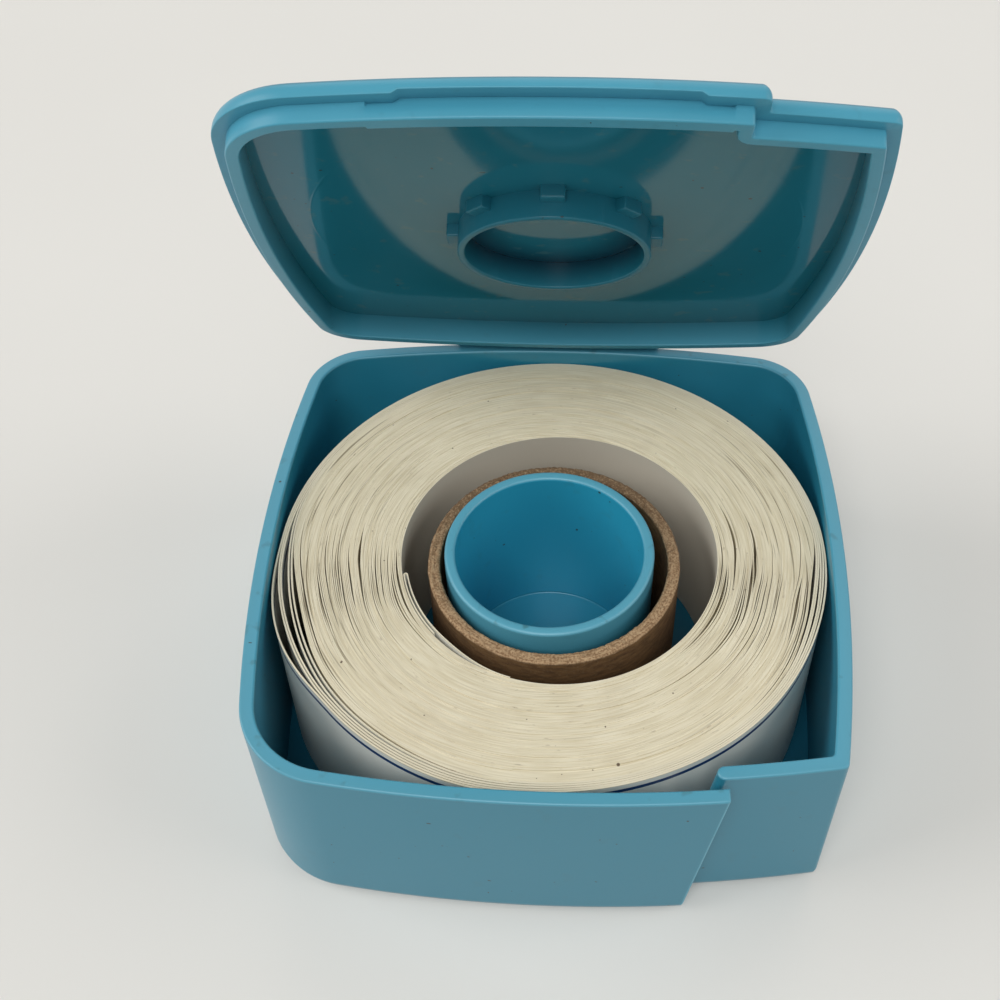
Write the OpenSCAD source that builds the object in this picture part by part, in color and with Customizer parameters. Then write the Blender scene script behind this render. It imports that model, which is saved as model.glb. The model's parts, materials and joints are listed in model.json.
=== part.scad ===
// Label dispenser: a square clamshell box with a living hinge, a roll of label tape and its core.
// Millimetres, +Z up. The origin is on the table, on the axis of the post that carries the roll.
// The front, where the tape comes out, faces -Y. The lid is drawn open, as it stands in use.

/* [Tape] */
// Width of the label tape
tape_w = 25.4; // [19:0.1:32]
// Thickness of the tape with its backing
tape_t = 0.2; // [0.12:0.02:0.3]
// Largest radius of the roll, over its sprung-open turns
roll_r = 37.7; // [36:0.1:42]
// Number of loose turns round the tight roll
loose_count = 2; // [2:1:4]
// Air between loose turns on the side where they crowd together
tight_gap = 0.46; // [0.42:0.02:0.7]
// Air between loose turns on the side where they stand open
open_gap = 1.3; // [0.8:0.02:1.4]
// Where the free outer end of the tape lies, as an angle about the post
tape_end_angle = -62; // [-80:1:-40]
// Radius of the bore of the tight roll
bore_r = 21.8; // [21.2:0.1:23]
// How far the bore lies off the post's axis, to the right
bore_off_x = 1.3; // [0:0.1:1.5]
// How far the bore lies off the post's axis, to the back
bore_off_y = 0.6; // [0:0.1:1]
// Air between the tight roll and the first loose turn
first_gap = 0.3; // [0.2:0.05:0.5]
// Angle about the bore at which the tape's inner end folds back
fold_angle = 193; // [180:1:200]
// Angle from the fold to the place where the tape meets the bore
tail_sweep = 62; // [50:1:70]
// Angle that the folded end runs back along the bore
fold_lap = 29; // [20:1:32]
// Radius of the fold, at the middle of the tape
fold_r = 0.35; // [0.32:0.01:0.5]
// Air between the folded end and the bore
tail_gap = 0.15; // [0.1:0.05:0.3]

/* [Core] */
// Inner diameter of the cardboard core
core_id = 31.4; // [30:0.1:32.5]
// Wall of the cardboard core
core_wall = 1.7; // [1.2:0.1:2]
// How much shorter the core is than the tape is wide
core_short = 0.5; // [0:0.1:2]
// How far the loose core has slid to the right of the post's axis
core_off_x = 0.6; // [0:0.1:0.7]
// How far the loose core has slid to the front of the post's axis
core_off_y = 0.3; // [0:0.1:0.5]

/* [Tray] */
// Thickness of the walls
wall = 1.9; // [1.5:0.1:2.4]
// Thickness of the floor
floor_t = 1.4; // [1.2:0.1:3]
// Running clearance between the roll and the walls
wall_gap = 0.4; // [0.4:0.1:2]
// Running clearance between the tape, or the core, and the floor
floor_gap = 0.2; // [0.1:0.05:0.5]
// How far the middle of each side stands out past its corners
side_bow = 3.9; // [2.5:0.1:5]
// Outer radius of the two back corners
back_corner_r = 9; // [7:0.5:12]
// Outer radius of the front left corner
front_corner_r = 12.5; // [6:0.5:14]
// How much the tray narrows from its rim to its foot, on each side
draft = 0.3; // [0:0.05:0.4]
// Rounding of the lower edge
foot_round = 2.2; // [0.8:0.1:2.6]
// Rounding of the outer edge of the rim
rim_round = 0.4; // [0.2:0.05:0.6]

/* [Post] */
// Radial play between the core and the post
post_play = 1.25; // [1.1:0.05:1.6]
// Wall of the hollow post
post_wall = 1.5; // [1.2:0.1:2]
// How far the post's top lies below the rim
post_drop = 1.3; // [0.8:0.1:2]
// Rounding of the post's top edges
post_round = 0.4; // [0.2:0.05:0.6]

/* [Slot] */
// Width of the slot that the tape comes out of
slot_gap = 1.2; // [0.8:0.1:2]
// Place of the tear edge's top, to the right of the post's axis
tear_x = 22.9; // [20:0.1:25]
// Lean of the tear edge, in degrees
tear_lean = 7.9; // [0:0.1:10]
// How far the set-back panel reaches behind the tear edge
slot_lap = 0.5; // [0:0.1:2]

/* [Lid] */
// Angle at which the lid stands open
lid_open = 61; // [45:1:100]
// Height of the lid above the rim
lid_h = 2.4; // [2.2:0.1:4]
// How far the lid's edge stays inside the tray's outline
lid_inset = 0.65; // [0.2:0.05:0.9]
// Rounding of the lid's upper edge
lid_round = 1.8; // [1:0.1:2]
// Depth of the hollow under the lid, above the rim
lid_hollow = 1.5; // [1:0.1:1.6]
// Air between the closed lid's ledge and the rim
seat_gap = 0.1; // [0.05:0.05:0.3]
// Depth of the lip that drops into the tray
lip_drop = 2.1; // [1.4:0.1:2.5]
// Thickness of the lip
lip_t = 1.6; // [1:0.05:1.8]
// Clearance between the lip and the walls
lip_gap = 0.4; // [0.25:0.05:0.6]
// Clearance between the lip and the set-back panel
step_gap = 0.25; // [0.2:0.05:0.4]
// Clearance between the lip and the top of the roll
roll_headroom = 0.3; // [0.2:0.1:1]
// Width of the fingernail notch in the lid's front edge
nail_w = 31.6; // [20:0.2:34]
// Depth of the fingernail notch
nail_h = 0.45; // [0.4:0.05:0.9]
// Width of the part of the lip's front that is set back to snap past the catch
snap_w = 38; // [30:0.5:40]
// How far that part is set back
snap_depth = 0.4; // [0.3:0.05:0.5]
// Height of the bead left at the end of the set-back part
bead_h = 0.6; // [0.4:0.05:0.8]
// Clearance between the bead and the catch on the tray's front wall
catch_gap = 0.1; // [0.05:0.05:0.2]
// Height of the catch
catch_h = 0.6; // [0.4:0.05:0.8]

/* [Ring] */
// Radial play between the lid's ring and the post's bore
ring_play = 0.65; // [0.5:0.05:1]
// Wall of the ring
ring_wall = 0.9; // [0.7:0.05:1.2]
// How far the ring reaches into the post when the lid is shut
ring_reach = 0.7; // [0.2:0.05:1]
// Number of nubs round the ring's root
nub_count = 8; // [4:1:12]
// Width of a nub
nub_w = 3; // [2:0.1:4]
// How far a nub stands out from the ring
nub_len = 1.45; // [1:0.05:2]
// Height of a nub
nub_h = 1.6; // [1:0.1:2]

/* [Hinge] */
// Width of the hinge film
film_w = 30.8; // [20:0.2:40]
// Thickness of the hinge film
film_t = 0.35; // [0.25:0.05:0.5]
// Flat stretch of film between the tray's back and its bend
film_flat = 0.1; // [0.05:0.05:0.3]
// How far behind the film's flat stretch the hinge's axis lies
hinge_back = 0.35; // [0.3:0.05:0.6]
// Height of the film's edges above and below the hinge's axis
film_rise = 0.38; // [0.35:0.01:0.5]
// Air between the film and the lid's edge
film_gap = 0.1; // [0.05:0.05:0.2]

/* [Hidden] */

BLUE = [0.30, 0.60, 0.70];
DARK_BLUE = [0.25, 0.54, 0.64];
BROWN = [0.50, 0.38, 0.29];
CREAM = [0.87, 0.84, 0.74];
WHITE = [0.90, 0.90, 0.88];

// Facets of a circle and of a side's wide bow, and steps of a rounded edge
$fn = 96;
bow_fn = 720;
edge_steps = 5;
// How deep one shape runs into the shape that it is fused with
bite = 0.5;
// How far a cut runs past the face that it opens
over = 1;

// Levels
tape_z = floor_t + floor_gap;
tape_top_z = tape_z + tape_w;
rim_z = tape_top_z + roll_headroom + lip_drop;
post_top_z = rim_z - post_drop;
ledge_z = rim_z + seat_gap;
lid_top_z = ledge_z + lid_h;
lid_face_z = ledge_z + lid_hollow;
lip_end_z = ledge_z - lip_drop;

// Plan of the box: four bowed sides, each an arc whose centre lies past the opposite side
box_half = roll_r + wall_gap + wall;
bow_r = (box_half * box_half + side_bow * side_bow) / (2 * side_bow);
bow_back = bow_r - box_half;
beyond = 1.5 * box_half;
taper = draft / rim_z;
// Angle at which a corner's round meets a side, in degrees
corner_kink = 8;

// The set-back panel and the lip behind it, as insets from the front's outer face
panel_inset = wall + slot_gap;
panel_end_r = wall / 2;
lip_inset = wall + lip_gap;
lip_panel_inset = panel_inset + wall + step_gap;
lip_step_x = tear_x - slot_lap - panel_end_r - lip_gap;
ledge_w = lip_inset - lid_inset;
lid_step_x = lip_step_x + ledge_w;
lid_step_inset = lip_panel_inset - ledge_w;

// Post, core and ring
post_r = core_id / 2 - post_play;
post_bore_r = post_r - post_wall;
core_h = tape_w - core_short;
ring_r = post_bore_r - ring_play;
ring_end_z = post_top_z - ring_reach;

// Hinge
film_y = box_half + film_flat;
hinge_y = film_y + hinge_back;
hinge_z = ledge_z;
film_turn = 180 - lid_open;
film_half = atan2(film_rise, hinge_back) + lid_open / 2;
film_chord = 2 * norm([hinge_back, film_rise]) * sin(film_half);
film_r = film_chord / (2 * sin(film_turn / 2));
film_tab = side_bow * pow(film_w / 2 / box_half, 2) + film_flat + lid_inset + bite;

// Roll
tight_step = tape_t + tight_gap;
open_step = tape_t + open_gap;
mean_step = (tight_step + open_step) / 2;
side_step = (open_step - tight_step) / 2;
outer_line_r = roll_r - tape_t / 2;
inner_line_r = outer_line_r - loose_count * mean_step;
pack_off_x = loose_count * side_step;
pack_r = inner_line_r - tape_t / 2 - first_gap;
turn_points = 48;

// Distance from a side's bow centre to the centre of a corner of radius r, whose round crosses the side
function corner_reach(r) = sqrt(bow_r * bow_r + r * r - 2 * bow_r * r * cos(corner_kink));
// Distance from a corner's centre to the sides' middle lines, for a corner of radius r
function corner_at(r) = (sqrt(2 * pow(corner_reach(r), 2) - pow(bow_back, 2)) - bow_back) / 2;
// Direction from a side's bow centre to the corner's centre, for the side that faces +Y
function corner_dir(r) = [corner_at(r), corner_at(r) + bow_back] / corner_reach(r);

// Point on the back's bowed face at x, inset from the box's outline
function bow_point(x, inset) = [x, sqrt(pow(bow_r - inset, 2) - x * x) - bow_back];

// Centre line of the loose turns, t turns out from the tight roll
function loose_line(t) = let (
    a = tape_end_angle + 360 * (t - loose_count),
    r = inner_line_r + t * mean_step,
    off = pack_off_x - t * side_step
) [off + r * cos(a), r * sin(a)];
// Points on the loose turns' centre line
loose_points = [for (i = [0 : loose_count * turn_points]) loose_line(i / turn_points)];

// Left-hand normal of a line of points, at point i
function side_of(line, i) = let (
    a = line[max(i - 1, 0)],
    b = line[min(i + 1, len(line) - 1)],
    d = (b - a) / norm(b - a)
) [-d[1], d[0]];
// Outline of a strip of thickness t that follows a line of points
function strip_outline(line, t) = concat(
    [for (i = [0 : len(line) - 1]) line[i] + side_of(line, i) * t / 2],
    [for (i = [len(line) - 1 : -1 : 0]) line[i] - side_of(line, i) * t / 2]
);

// Centre line of the hinge film in Y and Z: a tab on the tray, the bend, and a tab on the lid
film_points = let (
    centre = [film_y, hinge_z - film_rise + film_r],
    bend = [
        for (k = [0 : 2 * edge_steps])
            let (turn = -90 + film_turn * k / (2 * edge_steps))
                centre + film_r * [cos(turn), sin(turn)]
    ],
    lid_end = bend[len(bend) - 1] + film_tab * [-cos(lid_open), sin(lid_open)]
) concat([[film_y - film_tab, hinge_z - film_rise]], bend, [lid_end]);

// Least air between one loose turn and the next, measured on their points
loose_gap = min([
    for (i = [0 : len(loose_points) - turn_points - 1])
        for (j = [max(i + turn_points - 2, 0) : min(i + turn_points + 2, len(loose_points) - 1)])
            norm(loose_points[j] - loose_points[i])
]) - tape_t;
echo("least gap between loose turns", loose_gap);

// Points of a rounded edge of radius r about a centre, turning from angle a to angle b
function edge_arc(centre, r, a, b) = [
    for (k = [0 : edge_steps])
        let (turn = a + (b - a) * k / edge_steps)
            centre + r * [cos(turn), sin(turn)]
];

// Half section of a disc, from z0 to z1, with rounded lower and upper edges. A slope narrows it below the rim
module edge_section(r, z0, z1, low_r, top_r, slope = 0) {
    low_x = r - slope * (rim_z - z0 - low_r);
    top_x = r - slope * (rim_z - z1 + top_r);
    polygon(concat(
        [[0, z1], [0, z0]],
        low_r > 0 ? edge_arc([low_x - low_r, z0 + low_r], low_r, -90, 0) : [[low_x, z0]],
        top_r > 0 ? edge_arc([top_x - top_r, z1 - top_r], top_r, 0, 90) : [[top_x, z1]]
    ));
}

// Solid disc with rounded edges
module disc(r, z0, z1, low_r = 0, top_r = 0, slope = 0) {
    rotate_extrude()
        edge_section(r, z0, z1, low_r, top_r, slope);
}

// Everything inside one bowed side, with the side's face inset from the box's outline
module bowed_side(inset, z0, z1, low_r = 0, top_r = 0, slope = 0) {
    translate([0, -bow_back])
        disc(bow_r - inset, z0, z1, low_r, top_r, slope, $fn = bow_fn);
}

// Everything inside the front's bowed face
module front_side(inset, z0, z1, low_r = 0, top_r = 0, slope = 0) {
    rotate(180)
        bowed_side(inset, z0, z1, low_r, top_r, slope);
}

// What the rounding of a corner takes off, for the corner between +X and +Y
module corner_cut(r, inset, z0, z1, low_r, top_r, slope) {
    c = [corner_at(r), corner_at(r)];
    d = corner_dir(r);
    e = [d[1], d[0]];
    difference() {
        translate([0, 0, z0 - over])
            linear_extrude(z1 - z0 + 2 * over)
                polygon([c, c + box_half * e, c + box_half * (d + e), c + box_half * d]);
        translate(c)
            disc(r - inset, z0, z1, low_r, top_r, slope);
    }
}

// Corners that are rounded: the turn that brings each from the +X +Y corner, and its outer radius
corners = [[0, back_corner_r], [90, back_corner_r], [180, front_corner_r]];

// Block on the box's plan, inset from its outline, with rounded edges and three rounded corners
module bowed_block(inset, z0, z1, low_r = 0, top_r = 0, slope = 0) {
    difference() {
        intersection_for (side = [0 : 3])
            rotate(90 * side)
                bowed_side(inset, z0, z1, low_r, top_r, slope);
        for (corner = corners)
            rotate(corner[0])
                corner_cut(corner[1], inset, z0, z1, low_r, top_r, slope);
    }
}

// Half space to the right of a line that leans with the tear edge and crosses the rim at x
module right_of(x) {
    translate([x, -box_half, rim_z])
        rotate([0, tear_lean, 0])
            translate([0, -beyond, -beyond])
                cube([2 * beyond, 2 * beyond, 2 * beyond]);
}

// What the step at the front right takes off, past a face inset from the front
module front_step(x, inset, z0, z1, low_r = 0, top_r = 0, slope = 0) {
    difference() {
        right_of(x);
        front_side(inset, z0, z1, low_r, top_r, slope);
    }
}

// The hollow of the tray, before the set-back panel crosses it
module tray_hollow() {
    bowed_block(wall, floor_t, rim_z + beyond);
}

// The set-back panel with its round end, from the floor to the rim
module back_panel() {
    x = tear_x - slot_lap;
    y = -bow_point(x, panel_inset + panel_end_r)[1];
    intersection() {
        difference() {
            front_side(panel_inset, 0, rim_z, foot_round, 0, taper);
            front_side(panel_inset + wall, -over, rim_z + over, 0, 0, taper);
        }
        right_of(x);
        bowed_block(wall / 2, 0, rim_z, foot_round);
    }
    intersection() {
        translate([x, y, rim_z])
            rotate([atan(taper), tear_lean, 0])
                translate([0, 0, -beyond])
                    cylinder(r = panel_end_r, h = 2 * beyond);
        translate([0, -box_half, floor_t / 2])
            cube([box_half, box_half, rim_z - floor_t / 2]);
    }
}

// Band of width w in the middle of the front, between two insets from the front's outer face
module front_band(w, inset, inner_inset, z0, z1) {
    intersection() {
        difference() {
            front_side(inset, z0, z1);
            front_side(inner_inset, z0 - over, z1 + over);
        }
        translate([-w / 2, -box_half - over, z0 - over])
            cube([w, box_half, z1 - z0 + 2 * over]);
    }
}

// Ridge inside the front wall that the lip's bead snaps past
module lid_catch() {
    z0 = lip_end_z + bead_h;
    front_band(snap_w - 2 * snap_depth, wall / 2, lip_inset - catch_gap, z0, z0 + catch_h);
}

// Hollow post that the roll turns about, open at the top like a cup
module post() {
    rotate_extrude()
        difference() {
            edge_section(post_r, floor_t / 2, post_top_z, 0, post_round);
            translate([0, floor_t])
                square([post_bore_r, post_top_z]);
        }
}

module base_tray() {
    color(BLUE) {
        difference() {
            bowed_block(0, 0, rim_z, foot_round, rim_round, taper);
            tray_hollow();
            front_step(tear_x, panel_inset, 0, rim_z + over, foot_round, 0, taper);
        }
        back_panel();
        lid_catch();
        post();
    }
}

// Plan of the lip, inset from the lip's outer face, with the step at the front right
module lip_block(inset, z0, z1) {
    difference() {
        bowed_block(lip_inset + inset, z0, z1);
        front_step(lip_step_x - inset, lip_panel_inset + inset, z0 - over, z1 + over);
    }
}

// Ring under the lid that reaches into the post, with nubs round its root
module lid_ring() {
    translate([0, 0, ring_end_z])
        difference() {
            cylinder(r = ring_r, h = lid_face_z - ring_end_z + bite);
            translate([0, 0, -over])
                cylinder(r = ring_r - ring_wall, h = lid_face_z - ring_end_z + over);
        }
    for (k = [0 : nub_count - 1])
        rotate(360 / nub_count * k)
            translate([ring_r - ring_wall / 2, -nub_w / 2, lid_face_z - nub_h])
                cube([nub_len + ring_wall / 2, nub_w, nub_h + bite]);
}

// Cuts in the front of the lid: the fingernail notch, and the recess over the lip's bead
module lid_front_cuts() {
    front_band(nail_w, -over, lip_inset, ledge_z - over, ledge_z + nail_h);
    front_band(snap_w, 0, lip_inset + snap_depth, lip_end_z + bead_h, ledge_z);
}

// The lid as it lies when shut
module closed_lid() {
    difference() {
        union() {
            difference() {
                bowed_block(lid_inset, ledge_z, lid_top_z, 0, lid_round);
                front_step(lid_step_x, lid_step_inset, ledge_z - over, lid_top_z, 0, lid_round);
            }
            lip_block(0, lip_end_z, ledge_z + bite);
        }
        lip_block(lip_t, lip_end_z - over, lid_face_z);
        lid_front_cuts();
    }
    front_band(snap_w, lip_inset + lip_t - bite, lip_inset + lip_t + snap_depth, lip_end_z, lid_face_z + bite);
    lid_ring();
}

// Turns what is drawn on the shut lid to the open lid's place
module at_lid() {
    translate([0, hinge_y, hinge_z])
        rotate([-lid_open, 0, 0])
            translate([0, -hinge_y, -hinge_z])
                children();
}

module lid() {
    color(DARK_BLUE)
        at_lid()
            closed_lid();
}

// Turns a section drawn in Y and Z into a band across the hinge's width
module across_hinge() {
    translate([-film_w / 2, 0, 0])
        rotate([90, 0, 90])
            linear_extrude(film_w)
                children();
}

// Everything in front of the back's bowed face, as wide as the hinge needs
module before_film(inset, z0, z1) {
    reach = film_w / 2 + bite;
    translate([0, 0, z0])
        linear_extrude(z1 - z0)
            polygon(concat(
                [[reach, 0], [-reach, 0]],
                [for (k = [-edge_steps : edge_steps]) bow_point(reach * k / edge_steps, inset)]
            ));
}

// The living hinge, bent from the tray's back to the open lid's back edge
module hinge_film() {
    color(BLUE)
        difference() {
            across_hinge()
                polygon(strip_outline(film_points, film_t));
            before_film(0, 0, rim_z);
            at_lid()
                before_film(lid_inset - film_gap, lip_end_z, lid_top_z);
        }
}

module cardboard_core() {
    color(BROWN)
        translate([core_off_x, -core_off_y, tape_z])
            difference() {
                cylinder(d = core_id + 2 * core_wall, h = core_h);
                translate([0, 0, -over])
                    cylinder(d = core_id, h = core_h + 2 * over);
            }
}

module label_roll() {
    color(CREAM)
        translate([0, 0, tape_z])
            difference() {
                translate([pack_off_x, 0, 0])
                    cylinder(r = pack_r, h = tape_w);
                translate([bore_off_x, bore_off_y, -over])
                    cylinder(r = bore_r, h = tape_w + 2 * over);
            }
}

module loose_turns() {
    color(WHITE)
        translate([0, 0, tape_z])
            linear_extrude(tape_w)
                polygon(strip_outline(loose_points, tape_t));
}

// Point inside the roll's bore, at an angle about it and a stand-off from its face
function bore_point(a, stand) = [bore_off_x, bore_off_y] + (bore_r - stand) * [cos(a), sin(a)];

// Centre line of the tape's inner end, which leaves the bore and folds back outwards in a hairpin
tail_points = let (
    near = tail_gap + tape_t / 2,
    steps = turn_points / 4,
    out = [cos(fold_angle), sin(fold_angle)],
    on = [sin(fold_angle), -cos(fold_angle)]
) concat(
    [
        for (i = [0 : steps])
            let (rise = pow(sin(90 * min(1, 2 * i / steps)), 2))
                bore_point(fold_angle + tail_sweep * (1 - i / steps), near + 2 * fold_r * rise)
    ],
    [
        for (k = [1 : 2 * edge_steps - 1])
            let (turn = 90 * k / edge_steps)
                bore_point(fold_angle, near + fold_r) + fold_r * (sin(turn) * on - cos(turn) * out)
    ],
    [for (i = [0 : steps / 2]) bore_point(fold_angle + fold_lap * 2 * i / steps, near)]
);

module tape_tail() {
    color(WHITE)
        translate([0, 0, tape_z])
            linear_extrude(tape_w)
                polygon(strip_outline(tail_points, tape_t));
}

base_tray();
lid();
hinge_film();
cardboard_core();
label_roll();
loose_turns();
tape_tail();
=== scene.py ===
# A label dispenser with its lid open: the looks of each piece, in metres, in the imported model's own frame.
import json

import bmesh
import bpy
import numpy as np
from mathutils import Matrix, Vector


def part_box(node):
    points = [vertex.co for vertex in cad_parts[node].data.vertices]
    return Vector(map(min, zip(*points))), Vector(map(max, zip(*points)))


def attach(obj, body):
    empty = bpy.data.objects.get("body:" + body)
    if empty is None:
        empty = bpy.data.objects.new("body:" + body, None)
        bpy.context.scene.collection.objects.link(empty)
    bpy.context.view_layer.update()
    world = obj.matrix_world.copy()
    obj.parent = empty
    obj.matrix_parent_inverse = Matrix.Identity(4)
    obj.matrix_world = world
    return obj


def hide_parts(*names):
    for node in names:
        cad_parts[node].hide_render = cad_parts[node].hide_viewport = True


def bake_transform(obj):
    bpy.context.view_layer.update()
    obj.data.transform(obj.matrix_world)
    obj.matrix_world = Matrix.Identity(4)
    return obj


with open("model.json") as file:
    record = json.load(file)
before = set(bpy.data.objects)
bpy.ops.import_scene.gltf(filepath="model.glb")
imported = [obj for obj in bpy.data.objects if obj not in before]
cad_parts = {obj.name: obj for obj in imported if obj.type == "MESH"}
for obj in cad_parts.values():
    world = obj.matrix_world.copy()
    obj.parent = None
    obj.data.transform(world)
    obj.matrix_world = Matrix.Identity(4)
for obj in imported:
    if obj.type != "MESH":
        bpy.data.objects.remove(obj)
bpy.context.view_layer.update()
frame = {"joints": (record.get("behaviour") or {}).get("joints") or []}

# Studio: a pale matt table top under soft light from above, from a window at each side and from behind.
# The camera is held above the front edge of the box and looks down into it.
mm = 0.001
picture_px = 1000
focal_px = 1433.5
sensor = 36.0
nearest_seen = 0.01
camera_place = np.array([4.522, -123.934, 181.534]) * mm
camera_yaw, camera_pitch, camera_roll = np.radians([-5.0817, 49.0391, 2.4055])


def camera_axes(yaw, pitch, roll):
    """Right, up and back of a camera turned about Z, tipped down and then rolled about its own line."""
    forward = np.array([np.sin(yaw) * np.cos(pitch), np.cos(yaw) * np.cos(pitch), -np.sin(pitch)])
    level = np.array([np.cos(yaw), -np.sin(yaw), 0.0])
    down = np.cross(forward, level)
    right = np.cos(roll) * level + np.sin(roll) * down
    return np.column_stack([right, np.cross(right, forward), -forward])


def placed(name, data, place, axes):
    """A camera or lamp at a place, with its axes as the columns of a turn."""
    thing = bpy.data.objects.new(name, data)
    bpy.context.scene.collection.objects.link(thing)
    turn = Matrix(axes.tolist()).to_4x4()
    turn.translation = place
    thing.matrix_world = turn
    return thing


lens = bpy.data.cameras.new("camera")
lens.sensor_width = sensor
lens.lens = focal_px * sensor / picture_px
lens.clip_start = nearest_seen
bpy.context.scene.camera = placed(
    "camera", lens, camera_place, camera_axes(camera_yaw, camera_pitch, camera_roll)
)
bpy.context.scene.view_settings.view_transform = "Standard"


class Wire:
    """A shader socket that takes part in Python expressions: each operator adds a Math node."""

    def __init__(self, tree, socket=None):
        self.tree = tree
        self.socket = socket

    def node(self, kind, settings=None, inputs=None, output=0):
        """Adds a node of a kind, applies its settings, sets or links its sockets, and gives one output."""
        made = self.tree.nodes.new(kind)
        for key, value in (settings or {}).items():
            setattr(made, key, value)
        for key, value in (inputs or {}).items():
            if isinstance(value, Wire):
                self.tree.links.new(value.socket, made.inputs[key])
            else:
                made.inputs[key].default_value = value
        return Wire(self.tree, made.outputs[output])

    def math(self, operation, a, b=0.0):
        return self.node("ShaderNodeMath", {"operation": operation}, {0: a, 1: b})

    def __add__(self, other):
        return self.math("ADD", self, other)

    def __radd__(self, other):
        return self.math("ADD", other, self)

    def __sub__(self, other):
        return self.math("SUBTRACT", self, other)

    def __rsub__(self, other):
        return self.math("SUBTRACT", other, self)

    def __mul__(self, other):
        return self.math("MULTIPLY", self, other)

    def __rmul__(self, other):
        return self.math("MULTIPLY", other, self)

    def __gt__(self, other):
        return self.math("GREATER_THAN", self, other)

    def __lt__(self, other):
        return self.math("LESS_THAN", self, other)

    def between(self, low, high):
        """0 below low, 1 above high, and a smooth step between them."""
        span = {"Value": self, "From Min": low, "From Max": high}
        return self.node("ShaderNodeMapRange", {"interpolation_type": "SMOOTHSTEP"}, span)

    def mixed(self, first, second):
        """A colour between two colours, by this factor."""
        first, second = (tone if isinstance(tone, Wire) else (*tone, 1.0) for tone in (first, second))
        return self.node("ShaderNodeMix", {"data_type": "RGBA"}, {"Factor": self, 6: first, 7: second}, 2)

    def noise(self, place, scale, detail=3.0):
        """Smooth noise about 0.5, with this many waves in a metre."""
        return self.node("ShaderNodeTexNoise", inputs={"Vector": place, "Scale": scale, "Detail": detail})

    def bump(self, height, strength, depth):
        """A normal that is tilted as a height rises and falls."""
        return self.node("ShaderNodeBump", inputs={"Strength": strength, "Distance": depth, "Height": height})

    def vector(self, operation, inputs, output="Vector"):
        """The result of a Vector Math node."""
        return self.node("ShaderNodeVectorMath", {"operation": operation}, inputs, output)

    def along(self, place, axis):
        """How far a place lies along X, Y or Z."""
        return self.node("ShaderNodeSeparateXYZ", inputs={"Vector": place}, output=axis)

    def mark(self, name):
        """A number that the mesh keeps for each of its points."""
        return self.node("ShaderNodeAttribute", {"attribute_name": name}, output=2)


def material(name, recipe, **sockets):
    """A material whose recipe gives the sockets that change over the surface; the rest are plain numbers."""
    made = bpy.data.materials.new(name)
    made.use_nodes = True
    tree = made.node_tree
    shader = tree.nodes["Principled BSDF"]
    wire = Wire(tree)
    place = wire.node("ShaderNodeTexCoord", output="Object")
    for key, value in sockets.items():
        shader.inputs[key.replace("_", " ")].default_value = value
    for key, value in recipe(wire, place).items():
        tree.links.new(value.socket, shader.inputs[key])
    return made


floor_side = 16.0
laminate_tones = (0.705, 0.697, 0.675), (0.745, 0.737, 0.715)


def table_top(wire, place):
    """Matt white laminate, faintly cloudy."""
    return {"Base Color": wire.noise(place, 9.0).mixed(*laminate_tones)}


corner_signs = np.array([[-1, -1], [1, -1], [1, 1], [-1, 1]])
table = bpy.data.meshes.new("table_top")
table.from_pydata(np.c_[corner_signs * floor_side / 2, np.zeros(4)].tolist(), [], [[0, 1, 2, 3]])
table.materials.append(material("table_laminate", table_top, Roughness=0.9, Specular_IOR_Level=0.15))
floor = bpy.data.objects.new("table_top", table)
bpy.context.scene.collection.objects.link(floor)

room_tint = (1.0, 0.982, 0.935)
room_light, backdrop_light, mirrored_light = 0.15, 0.64, 0.55
world = bpy.data.worlds.new("room")
world.use_nodes = True
room = world.node_tree.nodes["Background"]
room.inputs["Color"].default_value = (*room_tint, 1.0)
room_wire = Wire(world.node_tree)
seen = room_wire.node("ShaderNodeLightPath", output="Is Camera Ray")
mirrored = room_wire.node("ShaderNodeLightPath", output="Is Glossy Ray")
room_level = room_light + backdrop_light * seen + mirrored_light * mirrored
world.node_tree.links.new(room_level.socket, room.inputs["Strength"])
bpy.context.scene.world = world


def soft_light(name, from_way, spread_angle, strength, colour):
    """A wide even light that comes from a direction, as from a bright panel far away."""
    data = bpy.data.lights.new(name, "SUN")
    data.angle = np.radians(spread_angle)
    data.energy = strength
    data.color = colour
    back = np.array(from_way) / np.linalg.norm(from_way)
    right = np.cross([0.0, 1.0, 0.0], back)
    right = right / np.linalg.norm(right)
    placed(name, data, (0.0, 0.0, 0.0), np.column_stack([right, np.cross(back, right), back]))


soft_light("ceiling", (-0.08, -0.54, 0.84), 34, 1.62, (1.0, 0.99, 0.965))
soft_light("left_window", (-0.85, -0.05, 0.50), 44, 1.45, (1.0, 0.99, 0.97))
soft_light("right_window", (0.85, -0.05, 0.50), 44, 0.87, (1.0, 0.99, 0.97))
soft_light("far_wall", (0.10, 0.80, 0.60), 60, 0.55, (1.0, 0.99, 0.97))

# Tray: one injection moulding in turquoise polypropylene, with bowed walls, a rounded foot and a hollow post.
# At the front right the wall ends in a slanted tear edge, and a set-back panel laps behind it for the slot.
cad_slack = 0.01 * mm
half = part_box("base_tray")[1].x - cad_slack
rim_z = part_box("base_tray")[1].z
side_bow = 3.9 * mm
bow_r = (half ** 2 + side_bow ** 2) / (2 * side_bow)
bow_back = bow_r - half
front_corner_r = 12.5 * mm
back_corner_r = 9.0 * mm
draft = 0.3 * mm
wall = 1.9 * mm
floor_z = 1.4 * mm
foot_r = 2.2 * mm
rim_r = 0.3 * mm
tear_x = 22.9 * mm
tear_lean = np.radians(7.9)
tear_edge_r = 0.34 * mm
panel_inset = 3.1 * mm
panel_lap = 0.5 * mm
slot_gap = 0.4 * mm
outer_corner_r = 0.9 * mm
inner_corner_r = 0.7 * mm
post_r = 14.45 * mm
post_bore_r = 12.95 * mm
post_top_z = rim_z - 1.3 * mm
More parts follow.
